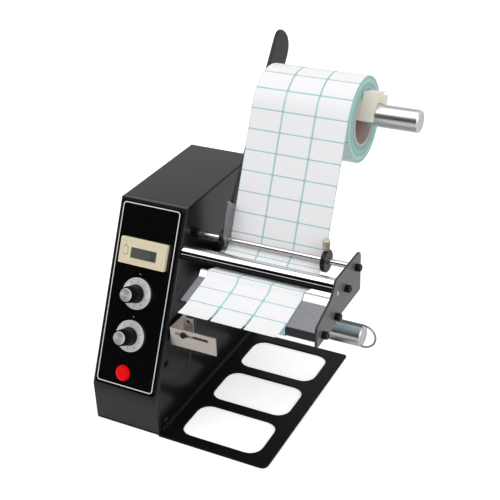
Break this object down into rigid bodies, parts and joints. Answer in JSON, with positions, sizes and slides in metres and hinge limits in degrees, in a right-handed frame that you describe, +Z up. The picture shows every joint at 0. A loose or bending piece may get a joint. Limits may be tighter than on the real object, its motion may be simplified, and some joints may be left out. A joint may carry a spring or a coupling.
{
  "type": "label dispenser",
  "caption": "Desk-top label dispenser: sloping panel housing, leaning roll arm, peeling deck with guide rod and roller, take-up shaft with wire clip, and a windowed base.",
  "frame": {"origin": "middle of the housing's footprint, on the base plate's underside", "axes": "+Z up, front towards -Y, +X to the right along the roll shaft and the take-up shaft"},
  "size_m": [0.2431, 0.2351, 0.3209],
  "materials": {
    "housing_paint": "satin black powder coat",
    "panel_paint": "satin grey paint",
    "overlay_gloss": "gloss black printed overlay",
    "counter_plastic": "cream moulded plastic",
    "counter_glass": "grey display window",
    "dial_silver": "spun aluminium",
    "knob_plastic": "knurled black plastic",
    "lamp_lens": "clear red lens",
    "bright_steel": "bright ground steel",
    "roller_chrome": "polished chrome",
    "shaft_aluminium": "turned aluminium",
    "deck_steel": "polished sheet",
    "plate_grey": "grey coating",
    "label_paper": "coated label paper",
    "liner_paper": "teal release liner",
    "core_board": "cardboard",
    "thumbscrew_metal": "nickel-plated brass",
    "bolt_black": "black oxide",
    "black_plastic": "moulded black plastic",
    "board_green": "printed circuit board",
    "motor_metal": "plain grey metal",
    "bearing_bronze": "sintered bronze"
  },
  "bodies": {
    "frame": {"base_plate": "housing_paint", "housing_cover": "housing_paint", "side_wall": "housing_paint", "roll_arm": "housing_paint", "front_panel": "panel_paint", "panel_overlay": "overlay_gloss", "counter_body": "counter_plastic", "inner_saddle": "counter_plastic", "counter_window": "counter_glass", "power_lamp": "lamp_lens", "guide_rod": "bright_steel", "roller_axle": "bright_steel", "tie_rod_front": "bright_steel", "tie_rod_rear": "bright_steel", "length_pot": "bright_steel", "speed_pot": "bright_steel", "sensor_bracket": "bright_steel", "roll_shaft": "shaft_aluminium", "deck_plate": "deck_steel", "end_plate": "plate_grey", "label_web": "label_paper", "peeled_label_1": "label_paper", "peeled_label_2": "label_paper", "peeled_label_3": "label_paper", "guide_rod_boss": "bolt_black", "end_bolt_1": "bolt_black", "end_bolt_2": "bolt_black", "end_bolt_3": "bolt_black", "end_bolt_4": "bolt_black", "deck_bolt": "bolt_black", "hold_down_bar": "bolt_black", "sensor_cable": "black_plastic", "power_inlet": "black_plastic", "circuit_board": "board_green", "gear_motor": "motor_metal", "transformer": "motor_metal", "shaft_bearing": "bearing_bronze"},
    "counter_button": {"counter_button": "counter_plastic"},
    "length_knob": {"length_dial": "dial_silver", "length_grip": "knob_plastic", "length_cap": "dial_silver"},
    "speed_knob": {"speed_dial": "dial_silver", "speed_grip": "knob_plastic", "speed_cap": "dial_silver"},
    "roller": {"chrome_roller": "roller_chrome"},
    "saddle": {"outer_saddle": "counter_plastic"},
    "roll": {"roll_core": "core_board", "label_roll": "liner_paper"},
    "left_guide": {"left_guide_collar": "bolt_black", "left_guide_plate": "bright_steel"},
    "left_screw": {"left_thumbscrew": "thumbscrew_metal"},
    "right_guide": {"right_guide_collar": "bolt_black"},
    "right_screw": {"right_thumbscrew": "thumbscrew_metal"},
    "takeup": {"takeup_shaft": "shaft_aluminium"},
    "clip": {"takeup_clip": "roller_chrome"},
    "sensor": {"sensor_carrier": "bright_steel", "sensor_head": "black_plastic", "sensor_screw": "bright_steel"},
    "switch": {"switch_rocker": "black_plastic"}
  },
  "joints": [
    {"name": "takeup_spin", "type": "hinge", "parent": "frame", "child": "takeup", "pos_m": [0.10625, 0.0377, 0.0633], "axis": [1, 0, 0], "continuous": true},
    {"name": "roll_spin", "type": "hinge", "parent": "frame", "child": "roll", "pos_m": [0.11275, 0.0772, 0.261], "axis": [1, 0, 0], "continuous": true},
    {"name": "roller_spin", "type": "hinge", "parent": "frame", "child": "roller", "pos_m": [0.10975, -0.0353, 0.159], "axis": [1, 0, 0], "continuous": true},
    {"name": "clip_slide", "type": "slide", "parent": "takeup", "child": "clip", "axis": [1, 0, 0], "range_m": [0, 0.107]},
    {"name": "saddle_slide", "type": "slide", "parent": "frame", "child": "saddle", "axis": [1, 0, 0], "range_m": [0, 0.037]},
    {"name": "length_knob_turn", "type": "hinge", "parent": "frame", "child": "length_knob", "pos_m": [-0.00175, -0.06158, 0.12138], "axis": [0, -0.9017, 0.4325], "range_deg": [-150, 150]},
    {"name": "speed_knob_turn", "type": "hinge", "parent": "frame", "child": "speed_knob", "pos_m": [-0.00175, -0.07853, 0.08604], "axis": [0, -0.9017, 0.4325], "range_deg": [-150, 150]},
    {"name": "counter_button_press", "type": "slide", "parent": "frame", "child": "counter_button", "axis": [0, 0.9017, -0.4325], "range_m": [0, 0.001], "stiffness_N_per_m": 200},
    {"name": "left_guide_slide", "type": "slide", "parent": "frame", "child": "left_guide", "axis": [-1, 0, 0], "range_m": [0, 0.022]},
    {"name": "left_thumbscrew_turn", "type": "hinge", "parent": "left_guide", "child": "left_screw", "pos_m": [0.06355, -0.0128, 0.167], "axis": [0, -0.4226, -0.9063], "range_deg": [0, 360]},
    {"name": "right_guide_slide", "type": "slide", "parent": "frame", "child": "right_guide", "axis": [1, 0, 0], "range_m": [0, 0.022]},
    {"name": "right_thumbscrew_turn", "type": "hinge", "parent": "right_guide", "child": "right_screw", "pos_m": [0.16085, -0.0128, 0.167], "axis": [0, 0, 1], "range_deg": [0, 360]},
    {"name": "sensor_slide", "type": "slide", "parent": "frame", "child": "sensor", "axis": [1, 0, 0], "range_m": [-0.0065, 0.0235]},
    {"name": "switch_rock", "type": "hinge", "parent": "frame", "child": "switch", "pos_m": [0.00625, 0.1022, 0.0595], "axis": [1, 0, 0], "range_deg": [0, 20]}
  ],
  "couplings": [
    {"joint": "roll_spin", "follows": "takeup_spin", "ratio": -0.2766},
    {"joint": "roller_spin", "follows": "takeup_spin", "ratio": 1.554}
  ]
}
